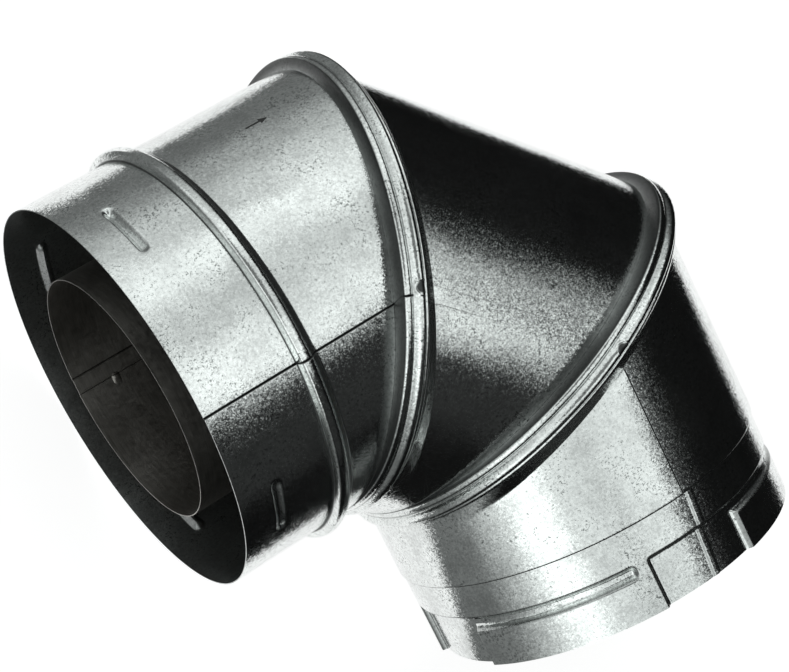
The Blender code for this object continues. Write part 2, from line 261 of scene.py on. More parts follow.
def closed(piece):
    """Turn the faces outward if the tube came out inside out."""
    mesh = piece.data
    co = np.zeros(len(mesh.vertices) * 3)
    mesh.vertices.foreach_get("co", co)
    co = co.reshape(-1, 3)
    mesh.calc_loop_triangles()
    tris = np.zeros(len(mesh.loop_triangles) * 3, int)
    mesh.loop_triangles.foreach_get("vertices", tris)
    a, b, c = (co[tris.reshape(-1, 3)[:, i]] for i in range(3))
    if np.sum(a * np.cross(b, c)) < 0:
        mesh.flip_normals()
    return piece


def soft(x):
    """0 to 1 with level ends."""
    x = np.clip(x, 0, 1)
    return x * x * (3 - 2 * x)


def wrapped(angle):
    """The same angle between minus and plus half a turn."""
    return (angle + math.pi) % (2 * math.pi) - math.pi


def groove(off, width, depth):
    """A narrow crease at off = 0."""
    return -depth * (1 - soft(np.abs(off) / (width / 2)))


MILLIMETRE = 0.001

# Bead of the outer joints, along the swivel from the joint's centre and above its circle
BEAD_OUT = MILLIMETRE * curve([
    (-8.2, 0.7), (-7.95, 1.8), (-7.4, 2.65), (-6.6, 3.05), (-5.6, 3.20), (-4.8, 3.10),
    (-4.2, 2.80), (-3.8, 2.75), (-3.3, 3.15), (-2.6, 3.90), (-1.7, 4.65), (-0.8, 5.05),
    (0.2, 5.15), (1.0, 4.85), (1.7, 4.20), (2.2, 3.50)], 3)
NESTED_FROM = 4
BEAD_IN = offset(BEAD_OUT, SHEET + GAP)[NESTED_FROM:]
SHOULDER = MILLIMETRE * curve([
    (2.4, 2.10), (2.9, 1.85), (3.5, 2.05), (4.2, 2.00), (5.0, 1.40), (5.8, 0.50)], 3)

LINER_OUT = MILLIMETRE * curve([(-7.0, 0), (-4.34, 2.4), (0, 3.0), (3.15, 2.4)], 4)
LINER_NESTED_FROM = 2
LINER_IN = np.concatenate([
    offset(LINER_OUT, LINER_SHEET + GAP)[LINER_NESTED_FROM:],
    MILLIMETRE * curve([(5.04, 1.86), (5.6, 1.44), (7.0, 0)], 3)])

# Extra rows beside a bend, which keep it crisp
NEAR_BEND = 0.0003
BY_BEND = 0.0012


def outside_joint(joint, axis, swivel, angles):
    """The end of a gore that forms a joint's outside sheet, from its oblique cut on."""
    cut = cut_row(joint, axis, swivel, -BEAD_BACK, angles)
    rows = flank_rows(BEAD_OUT, joint, swivel, angles)
    support = [cut - axis * BY_BEND, cut - axis * NEAR_BEND, cut]
    return support + ruled(cut, rows[0], 4) + rows


def inside_joint(joint, axis, swivel, angles):
    """The start of a gore whose sheet nests in the joint, up to its oblique cut."""
    rows = profile_rows(BEAD_IN, joint, swivel, JOINT_RADIUS, angles)
    rows += flank_rows(SHOULDER, joint, swivel, angles)
    cut = cut_row(joint, axis, swivel, BEAD_FRONT, angles)
    support = [cut, cut + axis * NEAR_BEND, cut + axis * BY_BEND]
    return rows + ruled(rows[-1], cut, 5) + support


def band(x, start, end, edge):
    """1 between start and end, with soft edges that lie outside of them."""
    return soft((x - start) / edge + 1) * soft((end - x) / edge + 1)


RIPPLE = 0.00013
RIPPLE_FADE = 0.008
RIM_FADE = 0.010


def ripple(s, phi):
    """The slight waviness of rolled sheet."""
    wave = 0.6 * np.sin(9 * phi + 38 * s) + 0.45 * np.sin(16 * phi - 52 * s + 1.0)
    return RIPPLE * (wave + 0.35 * np.sin(27 * phi + 24 * s + 2.4))


# Painted shade on a bead's steep back and in its fine groove: the spans along the swivel, their soft
# edge and their shares.
BACK_SHADE = (-0.0082, -0.0078)
GROOVE_SHADE = (-0.0039, -0.0037)
SHADE_EDGE = 0.0003
BACK_SHARE = 0.92
GROOVE_SHARE = 0.35


def joint_shade(points, joint, swivel):
    """Painted shade on a bead's steep back and in its fine groove."""
    x = (points - joint) @ swivel
    back = BACK_SHARE * band(x, *BACK_SHADE, SHADE_EDGE)
    return back + GROOVE_SHARE * band(x, *GROOVE_SHADE, SHADE_EDGE)


# Outer inlet gore
DIMPLES = deg(50, 140, -130, -40)
DIMPLE_AT = 0.0205
DIMPLE_HALF_LONG = math.radians(20) * WALL / 2
DIMPLE_HALF_WIDE = 0.0066 / 2
DIMPLE_DEEP = 0.0028
DIMPLE_COLUMNS = 11
RIB = MILLIMETRE * curve([
    (49.1, 0.0), (49.4, 0.5), (49.8, 2.3), (50.3, 4.0), (51.1, 4.8), (52.6, 5.0), (54.4, 4.9),
    (55.6, 4.4), (56.8, 3.3), (58.0, 2.0), (59.2, 0.7), (60.1, 0.1), (60.7, 0.0)], 2)
# Painted shade at the rib's foot and on its flank towards the joint, as spans along the gore.
RIB_FOOT_SHADE = (0.0491, 0.0494)
RIB_FRONT_SHADE = (0.0568, 0.0598)
INLET_SEAM = math.radians(-4)
LAP_RISE = 0.0006
LAP_STEP = 0.00025
LAP_WIDE = math.radians(10)
SEAM_BACK = 0.0002
SEAM_WIDE = 0.0010
SEAM_DEEP = 0.0009
# Painted shade along a seam's crease: its half width, its share and, below, where it starts.
SEAM_SHADE_HALF = 0.00045
SEAM_SHADE_SHARE = 0.95
SEAM_FADE = 0.001
CREASE_FROM = 0.0042
CREASE_SHADE_FROM = 0.0032
CREASE_FADE = 0.0005
PIT_RADIUS = 0.0028
PIT_DEEP = 0.0002
PIT_LIP = 0.0003
INLET_PIT = (0.0003, math.radians(-2.3))
MIDDLE_PIT = (0.0005, math.radians(-0.9))


def seam_off(phi, seam):
    """Distance along the wall from a seam's crease, which lies just behind the seam."""
    return wrapped(phi - seam) * WALL + SEAM_BACK


def lap(phi, seam):
    """The sheet lies over its own end on one side of the seam."""
    back = (seam - phi) % (2 * math.pi)
    rise = LAP_RISE * np.clip(1 - back / LAP_WIDE, 0, 1)
    return rise * soft(back * WALL / LAP_STEP)


def from_pit(points, joint, swivel, at, angle):
    """Distance from the middle of a pit on a joint's bead, as a share of the pit's radius."""
    off = points - joint
    side = np.cross(UP, swivel)
    turn = np.arctan2(off @ side, off @ UP) - angle
    return np.hypot(off @ swivel - at, turn * JOINT_RADIUS) / PIT_RADIUS


def pit(points, joint, swivel, place):
    """A small staked pit with a raised lip, on a joint's bead."""
    far = from_pit(points, joint, swivel, *place)
    return -PIT_DEEP * (1 - soft(far - 0.1)) + PIT_LIP * np.exp(-((far - 1.2) / 0.2) ** 2)


# Painted shade: a dark disc inside the pit.
def pit_shade(points, joint, swivel, place):
    return 0.9 * soft((1.05 - from_pit(points, joint, swivel, *place)) / 0.25)


# Painted shade along a seam's crease.
def seam_shade(phi, seam):
    return SEAM_SHADE_SHARE * soft(1.6 - np.abs(seam_off(phi, seam)) / SEAM_SHADE_HALF)


# Painted shade on the inlet gore: the bead's back and groove, the seam's crease, the rib's foot and
# flank, and the pit.
def inlet_shade(points, s, phi):
    before = -((points - J1) @ N1)
    shade_share = joint_shade(points, J1, N1)
    start = soft((before - CREASE_SHADE_FROM) / CREASE_FADE)
    shade_share = np.maximum(shade_share, seam_shade(phi, INLET_SEAM) * start)
    shade_share = np.maximum(shade_share, 0.85 * band(s, *RIB_FOOT_SHADE, 0.0002))
    shade_share = np.maximum(shade_share, 0.80 * band(s, *RIB_FRONT_SHADE, 0.0006))
    return np.maximum(shade_share, pit_shade(points, J1, N1, INLET_PIT))


def inlet_shape(points, s, phi):
    before = -((points - J1) @ N1)
    rise = lap(phi, INLET_SEAM) * soft((before - BEAD_BACK) / SEAM_FADE)
    crease = groove(seam_off(phi, INLET_SEAM), SEAM_WIDE, SEAM_DEEP)
    rise += crease * soft((before - CREASE_FROM) / CREASE_FADE)
    for angle in DIMPLES:
        along = np.abs(wrapped(phi - angle)) * WALL
        run = np.maximum(along - (DIMPLE_HALF_LONG - DIMPLE_HALF_WIDE), 0)
        far = np.hypot(run, s - DIMPLE_AT) / DIMPLE_HALF_WIDE
        rise -= DIMPLE_DEEP * (1 - soft(np.clip(far, 0, 1)))
    rise += np.interp(s, RIB[:, 0], RIB[:, 1])
    rise += ripple(s, phi) * soft((before - BEAD_BACK) / RIPPLE_FADE) * soft(s / RIM_FADE)
    return rise + pit(points, J1, N1, INLET_PIT)


def outer_inlet():
    fine = [(math.degrees(a) - DIMPLE_COLUMNS, math.degrees(a) + DIMPLE_COLUMNS, 0.7)
            for a in DIMPLES]
    fine += [(-5.2, -0.2, 0.12)]
    angles = columns(COLUMN_STEP, fine)
    at = spans((0, 0.0006, 0.0006), (0.0006, 0.0165, 0.004), (0.0165, 0.0245, 0.0007),
               (0.0245, 0.0480, 0.006), (0.0480, 0.0489, 0.0004))
    at += list(RIB[:, 0]) + [RIB[-1, 0] + 0.0005, RIB[-1, 0] + 0.0015]
    rows = [ring(RIM + INLET * s, INLET, angles, WALL) for s in at]
    end = outside_joint(J1, INLET, N1, angles)
    rows += ruled(rows[-1], end[0], 9) + end
    return tube("outer_inlet_shell", rows, angles, SHEET, RIM, INLET, inlet_shape, inlet_shade,
                INSIDE_SHADE)


# Printed arrow
ARROW_ANGLE = math.radians(61)
ARROW_AT = 0.0997
ARROW_LONG = 0.0120
ARROW_HEAD = 0.0042
ARROW_LINE = 0.0009
INK_HEIGHT = 0.00015


def arrow():
    """A plain printed arrow that points to the joint, as a thin film on the gore."""
    tip = ARROW_LONG
    neck = ARROW_LONG - ARROW_HEAD
    half = ARROW_LINE / 2
    strips = [[(-half, 0), (half, 0), (half, neck), (-half, neck)],
              [(-ARROW_HEAD / 2, neck), (ARROW_HEAD / 2, neck), (0, tip)]]
    points, faces = [], []
    for strip in strips:
        start = len(points)
        for level in (INK_HEIGHT, -INK_HEIGHT):
            for across, along in strip:
                phi = np.array([ARROW_ANGLE + across / WALL])
                centre = RIM + INLET * (ARROW_AT + along)
                lift = level + ripple(ARROW_AT + along, phi)
                points.append(ring(centre, INLET, phi, WALL + lift)[0].tolist())
        count = len(strip)
        faces.append([start + i for i in range(count)])
        faces.append([start + count + i for i in reversed(range(count))])
        for i in range(count):
            after = (i + 1) % count
            faces.append([start + i, start + count + i, start + count + after, start + after])
    mesh = bpy.data.meshes.new("arrow_mark")
    mesh.from_pydata(points, [], faces)
    piece = bpy.data.objects.new("arrow_mark", mesh)
    bpy.context.collection.objects.link(piece)
    return piece


# Outer middle gore, with two faint lines that run at a slight slant
LINES_FROM = 0.013
LINES_LONG = 0.089
LINE_WIDE = 0.0006
LINE_DEEP = 0.00008
BETWEEN_RISE = 0.00006
BETWEEN_EDGE = 0.0004


def middle_shape(points, s, phi):
    """Two faint lines where the sheet was joined, and the pit of the second joint."""
    share = np.clip((s - LINES_FROM) / LINES_LONG, 0, 1)
    first = np.radians(0.3 + 2.1 * share)
    second = np.radians(-4.3 + 1.7 * share)
    past = (phi - second) * WALL
    inside = soft(past / BETWEEN_EDGE) * soft((first - phi) * WALL / BETWEEN_EDGE)
    rise = BETWEEN_RISE * inside
    rise += groove((phi - first) * WALL, LINE_WIDE, LINE_DEEP)
    rise += groove(past, LINE_WIDE, LINE_DEEP)
    after = (points - J1) @ N1 - BEAD_FRONT
    before = -((points - J2) @ N2) - BEAD_BACK
    rise = rise * soft(after / SEAM_FADE) * soft(before / SEAM_FADE)
    rise += ripple(s, phi) * soft(after / RIPPLE_FADE) * soft(before / RIPPLE_FADE)
    return rise + pit(points, J2, N2, MIDDLE_PIT)


# Painted shade on the middle gore: the second bead's back and groove, and the pit.
def middle_shade(points, s, phi):
    shade_share = joint_shade(points, J2, N2) * ((points - J2) @ N2 > -BEAD_BACK - SEAM_FADE)
    return np.maximum(shade_share, pit_shade(points, J2, N2, MIDDLE_PIT))


def outer_middle():
    angles = columns(COLUMN_STEP, [(-5.6, 3.4, 0.15)])
    first = inside_joint(J1, MIDDLE, N1, angles)
    last = outside_joint(J2, MIDDLE, N2, angles)
    rows = first + ruled(first[-1], last[0], 14) + last
    return tube("outer_middle_shell", rows, angles, SHEET, J1, MIDDLE, middle_shape, middle_shade,
                INSIDE_SHADE)


# Outer outlet gore, rolled down at its end over the collar
OUTLET_SEAM = math.radians(1)
ROLL_WIDE = 0.0009
ROLL_DROP = 0.00035
ROLL_ROWS = (0.0015, 0.0009, 0.0006, 0.0003, 0)


def outlet_shape(points, s, phi):
    after = (points - J2) @ N2 - BEAD_FRONT
    crease = groove(seam_off(phi, OUTLET_SEAM), SEAM_WIDE, SEAM_DEEP)
    rolled = np.clip((s - OUTLET_LENGTH) / ROLL_WIDE + 1, 0, 1)
    wave = ripple(s, phi) * soft(after / RIPPLE_FADE) * soft((OUTLET_LENGTH - s) / RIM_FADE)
    seam = (lap(phi, OUTLET_SEAM) + crease) * soft(after / SEAM_FADE)
    return seam - ROLL_DROP * rolled ** 2 + wave


# Painted shade on the outlet gore: the seam's crease, and a dark line along the rolled end where it
# steps down onto the collar.
def outlet_shade(points, s, phi):
    after = (points - J2) @ N2
    shade_share = seam_shade(phi, OUTLET_SEAM) * soft((after - BEAD_FRONT) / SEAM_FADE)
    return np.maximum(shade_share, 0.8 * soft((s - OUTLET_LENGTH + 0.0006) / 0.0004))


def outer_outlet():
    angles = columns(COLUMN_STEP, [(-0.5, 4.0, 0.12)])
    first = inside_joint(J2, OUTLET, N2, angles)
    end = [ring(J2 + OUTLET * (OUTLET_LENGTH - back), OUTLET, angles, WALL)
           for back in ROLL_ROWS]
    rows = first + ruled(first[-1], end[0], 14) + end
    return tube("outer_outlet_shell", rows, angles, SHEET, J2, OUTLET, outlet_shape, outlet_shade,
                INSIDE_SHADE)


# Twist-lock collar
TRACK_COUNT = 4
TRACK_PITCH = 360 / TRACK_COUNT
TRACK_START = -17
ENTRY_SPAN = 33
TRACK_SPAN = 87
TRACK_AT = OUTLET_LENGTH + 0.0180
TRACK_WIDE = 0.0085
TRACK_DEEP = 0.0032
TRACK_FLANK = 0.0030
MOUTH_FLANK = 0.0024
MOUTH_HALF = 0.030
MOUTH_CORNER = 0.0030
LEAD = math.radians(1.5)
STRIP_WIDE = 0.0036
STRIP_RISE = 0.0005
STRIP_EDGE = 0.0010
DENTS = ((-48, 0.0993), (-45.5, 0.1072))
DENT_RADIUS = 0.0016
DENT_DEEP = 0.0008
DENT_STRETCH = 1.6


def rounded(x, y, half_x, half_y, radius):
    """Distance outside a rectangle with rounded corners, below 0 inside it."""
    dx = np.abs(x) - (half_x - radius)
    dy = np.abs(y) - (half_y - radius)
    outside = np.hypot(np.maximum(dx, 0), np.maximum(dy, 0))
    return outside + np.minimum(np.maximum(dx, dy), 0) - radius


def recesses(s, phi):
    """Distance from the outline of the nearest track, and from that of its mouth."""
    pitch = math.radians(TRACK_PITCH)
    turned = (phi - math.radians(TRACK_START) + LEAD) % pitch - LEAD
    run = turned * COLLAR_RADIUS
    track = math.radians(TRACK_SPAN) * COLLAR_RADIUS / 2
    entry = math.radians(ENTRY_SPAN) * COLLAR_RADIUS / 2
    down = s - TRACK_AT
    half = TRACK_WIDE / 2
    long = rounded(run - track, down - half, track, half, half - 0.0003)
    mouth = rounded(run - entry, down - MOUTH_HALF, entry, MOUTH_HALF, MOUTH_CORNER)
    return long, mouth


def strip_edge(s, phi):
    """Distance outside the collar's lap strip, which runs at a slight slant."""
    share = np.clip((s - OUTLET_LENGTH) / (COLLAR_END - OUTLET_LENGTH), 0, 1)
    middle = np.radians(3.2 - 2.1 * share)
    return np.abs(wrapped(phi - middle)) * COLLAR_RADIUS - STRIP_WIDE / 2


# Painted shade along the flanks of the tracks and their mouths, and thin lines along the edges of the
# lap strip.
def collar_shade(points, s, phi):
    long, mouth = recesses(s, phi)
    flank = band(np.minimum(long, mouth), -0.0012, -0.0002, 0.0006)
    shade_share = 0.65 * flank * (long > mouth) + 0.40 * flank * (long <= mouth)
    return np.maximum(shade_share, 0.45 * band(strip_edge(s, phi), -0.0001, 0.0001, 0.0006))


def collar_shape(points, s, phi):
    long, mouth = recesses(s, phi)
    depth = TRACK_DEEP * np.maximum(soft(-long / TRACK_FLANK), soft(-mouth / MOUTH_FLANK))
    rise = STRIP_RISE * soft(0.5 - strip_edge(s, phi) / STRIP_EDGE) - depth
    for angle, at in DENTS:
        along = wrapped(phi - math.radians(angle)) * WALL / DENT_STRETCH
        rise -= DENT_DEEP * (1 - soft(np.hypot(along, s - at) / DENT_RADIUS))
    return rise


def collar():
    fine = []
    for k in range(TRACK_COUNT):
        start = (TRACK_START + TRACK_PITCH * k + 180) % 360 - 180
        entry = start + ENTRY_SPAN
        end = (start + TRACK_SPAN + 180) % 360 - 180
        fine += [(start - 1, start + 3, 0.3), (entry - 2, entry + 2, 0.3), (end - 3.5, end, 0.3)]
    fine = [(a, b, c) for a, b, c in fine if -180 < a and b < 180]
    fine += [(-0.6, 5.2, 0.25)]
    angles = columns(0.9, merged(fine))
    at = spans((OUTLET_LENGTH - COLLAR_LAP, OUTLET_LENGTH + 0.001, 0.005),
               (OUTLET_LENGTH + 0.001, TRACK_AT - 0.0006, 0.0025),
               (TRACK_AT - 0.0006, TRACK_AT + TRACK_WIDE + 0.0008, 0.00045),
               (TRACK_AT + TRACK_WIDE + 0.0008, COLLAR_END, 0.0025))
    rows = [ring(J2 + OUTLET * s, OUTLET, angles, COLLAR_RADIUS) for s in at]
    return tube("twist_lock_shell", rows, angles, SHEET, J2, OUTLET, collar_shape, collar_shade,
                INSIDE_SHADE)


# Flue liner
LINER_SEAM = math.radians(171)
LINER_LAP = 0.0085
LINER_STEP = 0.0007
LINER_EDGE = 0.0004
RIVET_AT = 0.022
RIVET_RADIUS = 0.0022
RIVET_DEEP = 0.0012
RIVET_OFF = 0.0015


def liner_seam(points, s, phi):
    """The lap of the liner's sheet, and a rivet's head that stands inward beside it."""
    off = wrapped(phi - LINER_SEAM) * LINER
    step = LINER_STEP * soft(off / LINER_EDGE) * soft((LINER_LAP - off) / LINER_EDGE)
    rivet = np.hypot(off - LINER_LAP - RIVET_OFF, s - RIVET_AT) / RIVET_RADIUS
    return -step - RIVET_DEEP * np.sqrt(np.clip(1 - rivet ** 2, 0, 1))


# Painted shade along both edges of the liner's lap.
def liner_shade(points, s, phi):
    off = wrapped(phi - LINER_SEAM) * LINER
    first = band(off, -0.0003, 0.0001, LINER_EDGE)
    return 0.8 * first + 0.6 * band(off, LINER_LAP, LINER_LAP + 0.0003, LINER_EDGE)


def liner_pieces():
    angles = columns(2.0, [(169.5, 179.9, 0.35)])
    plug = COLLAR_END - PLUG_LENGTH

    def straight(centre, axis, at, radius=LINER):
        return ring(centre + axis * at, axis, angles, radius)

    def bead(points, centre, axis):
        return profile_rows(points, centre, axis, LINER_JOINT, angles)

    rivet = (RIVET_AT - RIVET_RADIUS, RIVET_AT + RIVET_RADIUS, 0.0006)
    first = [straight(RIM, INLET, at) for at in
             spans((LINER_RECESS, rivet[0], 0.006), rivet, (rivet[1], LINER_STRAIGHT, 0.006))]
    foot = bead(LINER_OUT, J1, N1)
    made = {"inlet": tube("liner_inlet_shell", first + ruled(first[-1], foot[0], 6) + foot,
                          angles, LINER_SHEET, RIM, INLET, liner_seam, liner_shade)}
    first = bead(LINER_IN, J1, N1)
    foot = bead(LINER_OUT, J2, N2)
    made["middle"] = tube("liner_middle_shell", first + ruled(first[-1], foot[0], 12) + foot,
                          angles, LINER_SHEET, J1, MIDDLE)
    first = bead(LINER_IN, J2, N2)
    start = straight(J2, OUTLET, OUTLET_STRAIGHT)
    rows = first + ruled(first[-1], start, 8)
    rows += [straight(J2, OUTLET, at) for at in spans((OUTLET_STRAIGHT, plug - 0.0012, 0.006))]
    rows += [straight(J2, OUTLET, at, LINER - PLUG_DROP)
             for at in spans((plug, COLLAR_END, 0.006))]
    made["outlet"] = tube("liner_outlet_shell", rows, angles, LINER_SHEET, J2, OUTLET)
    return made


# Materials

class Nodes:
    """A small helper to write a node tree as lines of code."""

    def __init__(self, tree):
        self.tree = tree

    def add(self, kind, **values):
        node = self.tree.nodes.new(kind)
        for key, value in values.items():
            setattr(node, key, value)
        return node

    def link(self, a, b):
        self.tree.links.new(a, b)

    def feed(self, node, socket, value):
        if isinstance(value, bpy.types.NodeSocket):
            self.link(value, node.inputs[socket])
        else:
            node.inputs[socket].default_value = value

    def math(self, operation, a, b=0.0, clamp=False):
        node = self.add("ShaderNodeMath", operation=operation, use_clamp=clamp)
        self.feed(node, 0, a)
        self.feed(node, 1, b)
        return node.outputs[0]

    def remap(self, value, a, b, c, d, kind="LINEAR"):
        """The value's run from a to b, as a run from c to d."""
        node = self.add("ShaderNodeMapRange", clamp=True, interpolation_type=kind)
        self.feed(node, "Value", value)
        for name, number in (("From Min", a), ("From Max", b), ("To Min", c), ("To Max", d)):
            self.feed(node, name, number)
        return node.outputs[0]

    def smooth(self, value, a, b, c, d):
        return self.remap(value, a, b, c, d, "SMOOTHSTEP")

    def noise(self, vector, scale, detail=3.0, roughness=0.5, distortion=0.0, output="Fac"):
        node = self.add("ShaderNodeTexNoise", normalize=True)
        self.link(vector, node.inputs["Vector"])
        self.feed(node, "Scale", scale)
        self.feed(node, "Detail", detail)
        self.feed(node, "Roughness", roughness)
        self.feed(node, "Distortion", distortion)
        return node.outputs[output]

    def cells(self, vector, scale):
        """A random colour for each cell."""
        node = self.add("ShaderNodeTexVoronoi", feature="F1")
        self.link(vector, node.inputs["Vector"])
        self.feed(node, "Scale", scale)
        return node.outputs["Color"]

    def vector(self, operation, a, b=(0.0, 0.0, 0.0)):
        node = self.add("ShaderNodeVectorMath", operation=operation)
        self.feed(node, 0, a)
        self.feed(node, 1, b)
        return node.outputs[0]

    def dot(self, a, b):
        node = self.add("ShaderNodeVectorMath", operation="DOT_PRODUCT")
        self.feed(node, 0, a)
        self.feed(node, 1, b)
        return node.outputs["Value"]

    def lean(self, colour, amount):
        """A vector of random direction from a random colour."""
        node = self.add("ShaderNodeVectorMath", operation="SCALE")
        self.link(self.vector("SUBTRACT", colour, (0.5, 0.5, 0.5)), node.inputs[0])
        self.feed(node, "Scale", amount)
        return node.outputs[0]

    def mix_colour(self, factor, a, b):
        node = self.add("ShaderNodeMix", data_type="RGBA")
        self.feed(node, 0, factor)
        self.feed(node, 6, a)
        self.feed(node, 7, b)
        return node.outputs[2]


def new_material(name, metallic=1.0):
    material = bpy.data.materials.new(name)
    material.use_nodes = True
    nodes = Nodes(material.node_tree)
    shader = material.node_tree.nodes["Principled BSDF"]
    shader.inputs["Metallic"].default_value = metallic
    return material, nodes, shader


# Near-black colours of the painted shade, and how much rougher the shaded places are.
ZINC_SHADE = (0.015, 0.016, 0.016, 1)
FLUE_SHADE = (0.02, 0.02, 0.018, 1)
DIM_SHARE = 0.64
SHADE_ROUGHER = 0.35
STEEPEST = 2.2
FACET_SHARE = 0.3
ALONG_LINES = 0.06


def galvanised(name, light, dark, rough, tilt):
    """Zinc-coated sheet: small crystals that each lean a little, dark specks, cloudy patches, and
    painted shade from the mesh's attribute.
    """
    material, n, shader = new_material(name)
    where = n.add("ShaderNodeTexCoord").outputs["Object"]
    grain = n.noise(where, scale=1500, roughness=0.6)
    flake = n.noise(where, scale=700, detail=4, roughness=0.7, distortion=0.4)
    patch = n.noise(where, scale=60, roughness=0.6)
    cloud = n.noise(where, scale=16, roughness=0.55)
    crystal = n.cells(where, scale=1250)
    split = n.add("ShaderNodeSeparateColor")
    n.link(crystal, split.inputs[0])

    fleck = n.math("ADD", n.math("MULTIPLY", grain, 0.45), n.math("MULTIPLY", flake, 0.55))
    edge = n.remap(patch, 0.40, 0.68, 0.35, 0.46)
    spots = n.remap(n.math("SUBTRACT", fleck, edge), -0.02, 0.025, 0.0, 1.0)
    mixed = n.math("ADD", n.math("MULTIPLY", flake, 0.6), n.math("MULTIPLY", patch, 0.4))
    mottle = n.remap(mixed, 0.40, 0.58, 0.0, 1.0)
    dim = tuple(DIM_SHARE * c for c in light) + (1,)
    body = n.mix_colour(mottle, dim, (*light, 1))
    shade = n.remap(cloud, 0.35, 0.65, 0.0, 0.35)
    body = n.mix_colour(shade, body, dim)
    body = n.mix_colour(spots, (*dark, 1), body)
    # Painted shade from the mesh's attribute darkens the colour and roughens it.
    painted_shade = n.add("ShaderNodeAttribute", attribute_name="painted_shade").outputs["Fac"]
    n.link(n.mix_colour(painted_shade, body, ZINC_SHADE), shader.inputs["Base Color"])
    base = n.remap(cloud, 0.3, 0.7, rough - 0.03, rough + 0.03)
    base = n.math("ADD", base, n.math("MULTIPLY", split.outputs[1], 0.05))
    n.link(n.math("ADD", base, n.math("MULTIPLY", painted_shade, SHADE_ROUGHER)), shader.inputs["Roughness"])

    wave = n.noise(where, scale=1750, output="Color")
    steeper = n.remap(flake, 0.50, 0.70, tilt, STEEPEST * tilt)
    lean = n.lean(wave, steeper)
    facet = n.lean(crystal, FACET_SHARE * tilt)
    facing = n.add("ShaderNodeNewGeometry").outputs["Normal"]
    leaning = n.vector("NORMALIZE", n.vector("ADD", n.vector("ADD", facing, lean), facet))
    n.link(leaning, shader.inputs["Normal"])
    return material


def dull_sheet(name, light, dark, rough):
    """Plain sheet of the flue liner: brushed along its rolling direction, with smoky stains and
    painted shade from the mesh's attribute.
    """
    material, n, shader = new_material(name)
    place = n.add("ShaderNodeAttribute", attribute_name="place").outputs["Vector"]
    where = n.add("ShaderNodeTexCoord").outputs["Object"]
    drawn = n.vector("MULTIPLY", place, (ALONG_LINES, 1.0, 1.0))
    lines = n.noise(drawn, scale=900, roughness=0.6)
    smoke = n.noise(where, scale=22, detail=4, roughness=0.6)
    speck = n.noise(where, scale=420, detail=4, roughness=0.65)
    mixed = n.math("ADD", n.math("MULTIPLY", lines, 0.35), n.math("MULTIPLY", smoke, 0.65))
    factor = n.remap(mixed, 0.36, 0.64, 0.0, 1.0)
    # Painted shade from the mesh's attribute darkens the colour.
    painted_shade = n.add("ShaderNodeAttribute", attribute_name="painted_shade").outputs["Fac"]
    body = n.mix_colour(factor, (*dark, 1), (*light, 1))
    n.link(n.mix_colour(painted_shade, body, FLUE_SHADE), shader.inputs["Base Color"])
    base = n.remap(speck, 0.3, 0.7, rough - 0.06, rough + 0.08)
    n.link(n.math("ADD", base, n.math("MULTIPLY", lines, 0.08)), shader.inputs["Roughness"])
    bump = n.add("ShaderNodeBump")
    n.feed(bump, "Strength", 0.5)
    n.feed(bump, "Distance", 0.00005)
    n.link(n.math("ADD", lines, speck), bump.inputs["Height"])
    n.link(bump.outputs[0], shader.inputs["Normal"])
    return material


def ink(name):
    """Black print, a little worn."""
    material, n, shader = new_material(name, 0.0)
    where = n.add("ShaderNodeTexCoord").outputs["Object"]
    worn = n.noise(where, scale=1500, roughness=0.6)
    body = n.mix_colour(worn, (0.012, 0.012, 0.012, 1), (0.03, 0.03, 0.03, 1))
    n.link(body, shader.inputs["Base Color"])
    shader.inputs["Roughness"].default_value = 0.45
    return material


casing = galvanised("galvanised_sheet", light=(0.93, 0.96, 0.945), dark=(0.22, 0.235, 0.23),
                    rough=0.12, tilt=0.21)
flue = dull_sheet("flue_sheet", light=(0.40, 0.385, 0.36), dark=(0.20, 0.19, 0.175), rough=0.36)
clip = galvanised("clip_sheet", light=(0.62, 0.63, 0.62), dark=(0.34, 0.35, 0.35),
                  rough=0.32, tilt=0.15)


def dress(piece, body, node, material):
    """A piece of its own takes a solid's place and rides with its body."""
    closed(piece)
    piece.data.materials.append(material)
    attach(piece, body)
    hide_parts(node)


dress(outer_inlet(), "inlet", "outer_inlet_gore", casing)
mark = closed(arrow())
mark.data.materials.append(ink("printed_ink"))
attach(mark, "inlet")
dress(outer_middle(), "middle", "outer_middle_gore", casing)
dress(outer_outlet(), "outlet", "outer_outlet_gore", casing)
dress(collar(), "outlet", "twist_lock_collar", casing)
for part, piece in liner_pieces().items():
    dress(piece, part, "liner_%s_gore" % part, flue)
for node, piece in frame["nodes"].items():
    if "spacer" in node:
        for slot in piece.material_slots:
            slot.material = clip


# Stage

BOARD_LEFT = 0.275
BOARD_RIGHT = 0.600
BOARD_HALF = 0.228
BOARD_TURN = math.radians(-28.2)
BOARD_AT = (0.0865, -0.0135, -0.0002)
BOARD_TONE = (0.92, 0.92, 0.92, 1)
BOARD_GLOW = 1.65
GLOW_SHARE = 0.55


